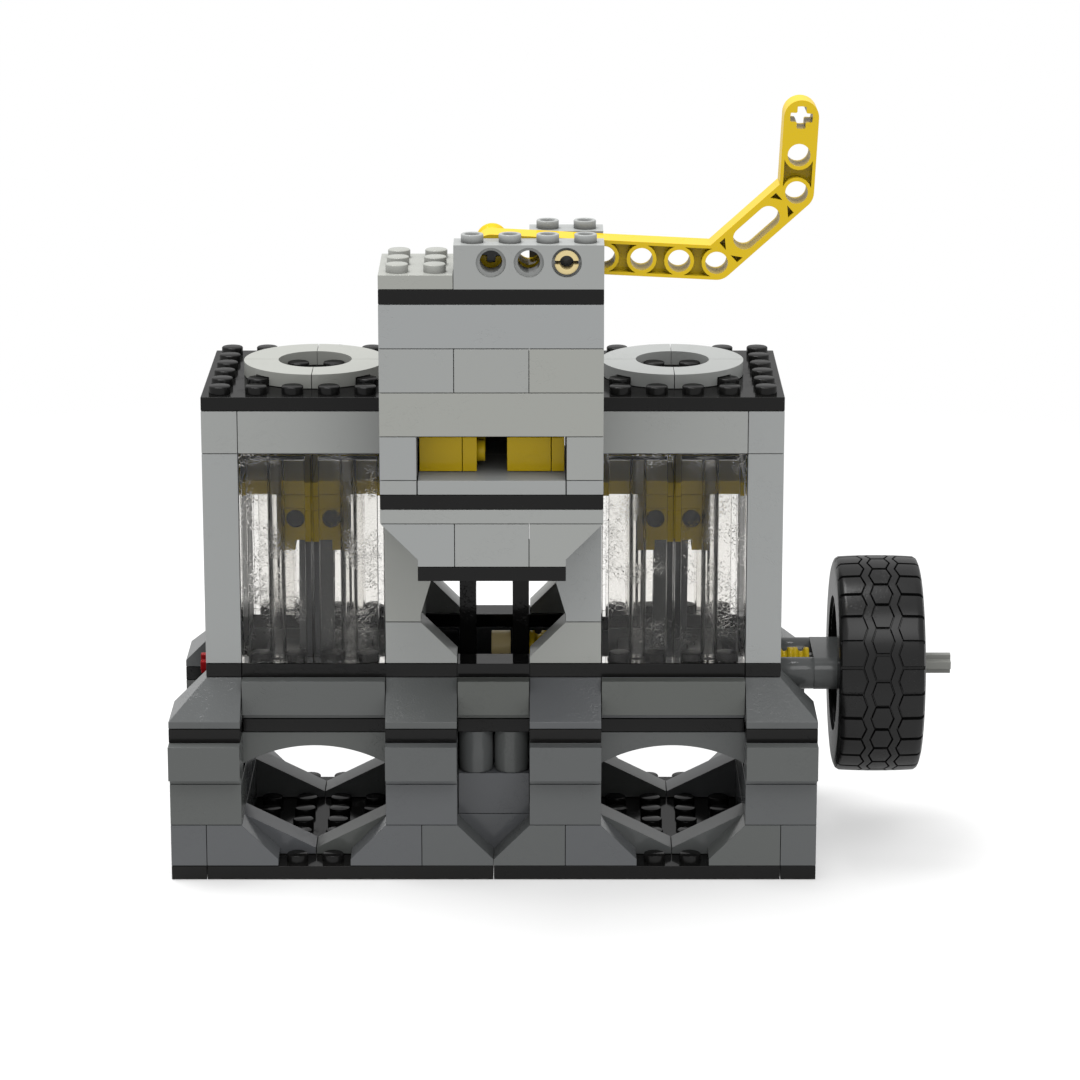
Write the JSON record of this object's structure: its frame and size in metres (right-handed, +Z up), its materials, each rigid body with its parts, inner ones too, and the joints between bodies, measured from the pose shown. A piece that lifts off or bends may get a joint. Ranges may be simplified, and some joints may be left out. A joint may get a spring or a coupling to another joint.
{
  "type": "vacuum engine model",
  "caption": "Model vacuum engine of interlocking bricks with clear cylinders, pistons, crankshaft, rocking valves, hand lever and flywheel.",
  "frame": {"origin": "centre of the base's underside", "axes": "+X along the crankshaft towards the flywheel, the hand lever's side is -Y, +Z up"},
  "size_m": [0.176, 0.0832, 0.1766],
  "materials": {
    "black": "glossy moulded",
    "dark_grey": "glossy moulded",
    "light_grey": "glossy moulded",
    "yellow": "glossy moulded",
    "tan": "glossy moulded",
    "red": "glossy moulded",
    "clear": "clear moulded plastic",
    "tyre": "satin rubber"
  },
  "bodies": {
    "engine_block": {"base_plate": "black", "lower_wall_front": "dark_grey", "lower_wall_back": "dark_grey", "belt_plate_lower": "black", "belt_plate_upper": "black", "slope_course_front": "dark_grey", "slope_course_back": "dark_grey", "bearing_brick_inner_left": "dark_grey", "bearing_brick_inner_right": "dark_grey", "bearing_brick_outer_left": "dark_grey", "bearing_brick_outer_right": "dark_grey", "cylinder_block_left": "light_grey", "cylinder_block_right": "light_grey", "clear_brick_front_left_1": "clear", "clear_brick_front_left_2": "clear", "clear_brick_back_left_1": "clear", "clear_brick_back_left_2": "clear", "clear_brick_front_right_1": "clear", "clear_brick_front_right_2": "clear", "clear_brick_back_right_1": "clear", "clear_brick_back_right_2": "clear", "top_plate_left": "black", "top_plate_right": "black", "top_ring_left": "light_grey", "top_ring_right": "light_grey", "tower_foot_plate": "black", "tower_corbel": "light_grey", "tower_stripe_plate": "black", "tower_walls": "light_grey", "tower_top_plate": "black", "bridge_back": "black", "stud_plate": "light_grey", "pivot_brick_front": "light_grey", "pivot_brick_back": "light_grey", "pivot_pin": "tan", "rocker_axle": "black"},
    "crankshaft": {"shaft_left": "light_grey", "shaft_right": "light_grey", "crank_web_outer_left": "dark_grey", "crank_web_inner_left": "dark_grey", "crank_web_outer_right": "dark_grey", "crank_web_inner_right": "dark_grey", "valve_crank_left": "black", "valve_crank_right": "black", "eccentric_bush": "yellow", "eccentric_sleeve": "tan", "stop_bush_right": "yellow", "stop_bush_left": "red", "drive_beam": "dark_grey", "wheel_rim": "black", "tyre": "tyre"},
    "piston_left": {"piston_left": "yellow"},
    "piston_right": {"piston_right": "yellow"},
    "connecting_rod_left": {"connecting_rod_left": "dark_grey"},
    "connecting_rod_right": {"connecting_rod_right": "dark_grey"},
    "rocker_left": {"valve_rocker_left": "black"},
    "rocker_right": {"valve_rocker_right": "black"},
    "valve_left": {"valve_block_left": "yellow"},
    "valve_right": {"valve_block_right": "yellow"},
    "lever": {"hand_lever": "yellow"}
  },
  "joints": [
    {"name": "crank_turn", "type": "hinge", "parent": "engine_block", "child": "crankshaft", "pos_m": [0, 0, 0.041], "axis": [1, 0, 0], "continuous": true},
    {"name": "piston_left_slide", "type": "slide", "parent": "engine_block", "child": "piston_left", "axis": [0, 0, 1], "range_m": [-0.008, 0.008]},
    {"name": "piston_right_slide", "type": "slide", "parent": "engine_block", "child": "piston_right", "axis": [0, 0, 1], "range_m": [-0.008, 0.008]},
    {"name": "rod_left_swing", "type": "hinge", "parent": "piston_left", "child": "connecting_rod_left", "pos_m": [-0.04, 0, 0.0779], "axis": [1, 0, 0], "range_deg": [0, 24.4]},
    {"name": "rod_right_swing", "type": "hinge", "parent": "piston_right", "child": "connecting_rod_right", "pos_m": [0.04, 0, 0.0779], "axis": [1, 0, 0], "range_deg": [-24.4, 0]},
    {"name": "rocker_left_swing", "type": "hinge", "parent": "engine_block", "child": "rocker_left", "pos_m": [-0.006, 0, 0.077], "axis": [1, 0, 0], "range_deg": [-7.2, 7.2]},
    {"name": "rocker_right_swing", "type": "hinge", "parent": "engine_block", "child": "rocker_right", "pos_m": [0.006, 0, 0.077], "axis": [1, 0, 0], "range_deg": [-7.2, 7.2]},
    {"name": "valve_left_slide", "type": "slide", "parent": "engine_block", "child": "valve_left", "axis": [0, 1, 0], "range_m": [-0.0031, 0.0031]},
    {"name": "valve_right_slide", "type": "slide", "parent": "engine_block", "child": "valve_right", "axis": [0, 1, 0], "range_m": [-0.0031, 0.0031]},
    {"name": "lever_swing", "type": "hinge", "parent": "engine_block", "child": "lever", "pos_m": [0.016, -0.036, 0.1434], "axis": [0, 1, 0], "range_deg": [-9.5, 11]}
  ],
  "couplings": [
    {"joint": "piston_right_slide", "follows": "piston_left_slide", "ratio": -1},
    {"joint": "rod_right_swing", "follows": "rod_left_swing", "ratio": -1},
    {"joint": "rocker_right_swing", "follows": "rocker_left_swing", "ratio": -1},
    {"joint": "valve_left_slide", "follows": "rocker_left_swing", "m_per_rad": -0.024},
    {"joint": "valve_right_slide", "follows": "rocker_left_swing", "m_per_rad": 0.024}
  ]
}
